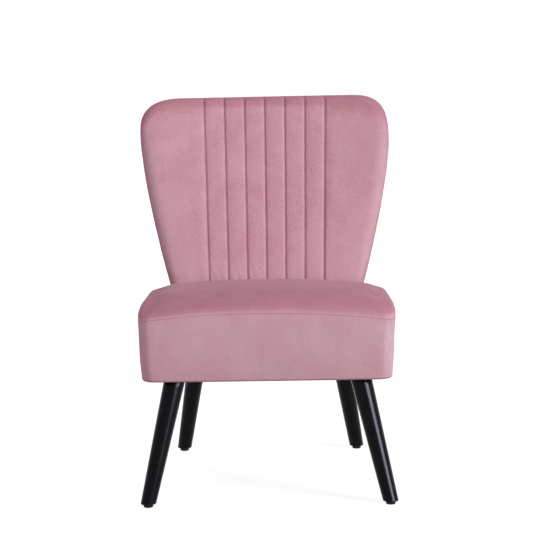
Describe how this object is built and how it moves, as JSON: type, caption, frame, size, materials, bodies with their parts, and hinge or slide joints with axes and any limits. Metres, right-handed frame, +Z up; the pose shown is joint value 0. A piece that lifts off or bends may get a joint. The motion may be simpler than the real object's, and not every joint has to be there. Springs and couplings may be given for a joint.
{
  "type": "scallop back chair",
  "caption": "Armless upholstered chair: boxed, sprung seat on splayed round tapered legs, and a separate flared, reclined back with sewn vertical channels.",
  "frame": {"origin": "on the floor, under the middle of the chair's bounding box", "axes": "+Z up, the chair faces -Y, +X is to its left as it faces you"},
  "size_m": [0.5666, 0.632, 0.801],
  "materials": {
    "rail_wood": "sawn beech, unfinished",
    "spring_steel": "oiled spring wire",
    "felt": "needled grey felt",
    "foam": "cut polyurethane foam",
    "velvet": "dusty pink velvet with a soft sheen",
    "dust_cloth": "thin black spunbond",
    "plywood": "sanded birch plywood",
    "webbing": "woven elastic webbing",
    "zinc_steel": "zinc plated",
    "black_lacquer": "turned hardwood, satin black lacquer",
    "glide_plastic": "moulded black plastic"
  },
  "bodies": {
    "root": {"seat_front_rail": "rail_wood", "seat_rear_rail": "rail_wood", "seat_left_rail": "rail_wood", "seat_right_rail": "rail_wood", "corner_block_front_left": "rail_wood", "corner_block_front_right": "rail_wood", "corner_block_rear_left": "rail_wood", "corner_block_rear_right": "rail_wood", "seat_spring_1": "spring_steel", "seat_spring_2": "spring_steel", "seat_spring_3": "spring_steel", "seat_spring_4": "spring_steel", "seat_spring_5": "spring_steel", "seat_spring_pad": "felt", "seat_side_padding": "felt", "seat_foam": "foam", "back_foam": "foam", "seat_cover_top": "velvet", "seat_cover_band": "velvet", "back_front_cover": "velvet", "back_rear_cover": "velvet", "dust_cover": "dust_cloth", "back_left_upright": "plywood", "back_right_upright": "plywood", "back_top_rail": "plywood", "back_lumbar_rail": "plywood", "back_foot_rail": "plywood", "back_webbing_1": "webbing", "back_webbing_2": "webbing", "back_webbing_3": "webbing", "back_webbing_4": "webbing", "back_bolt_lower_left": "zinc_steel", "back_bolt_upper_left": "zinc_steel", "back_bolt_lower_right": "zinc_steel", "back_bolt_upper_right": "zinc_steel", "back_tee_nut_lower_left": "zinc_steel", "back_tee_nut_upper_left": "zinc_steel", "back_tee_nut_lower_right": "zinc_steel", "back_tee_nut_upper_right": "zinc_steel", "hanger_bolt_front_left": "zinc_steel", "hanger_bolt_front_right": "zinc_steel", "hanger_bolt_rear_left": "zinc_steel", "hanger_bolt_rear_right": "zinc_steel", "hanger_nut_front_left": "zinc_steel", "hanger_nut_front_right": "zinc_steel", "hanger_nut_rear_left": "zinc_steel", "hanger_nut_rear_right": "zinc_steel", "leg_front_left": "black_lacquer", "leg_front_right": "black_lacquer", "leg_rear_left": "black_lacquer", "leg_rear_right": "black_lacquer", "glide_front_left": "glide_plastic", "glide_front_right": "glide_plastic", "glide_rear_left": "glide_plastic", "glide_rear_right": "glide_plastic"}
  },
  "joints": []
}
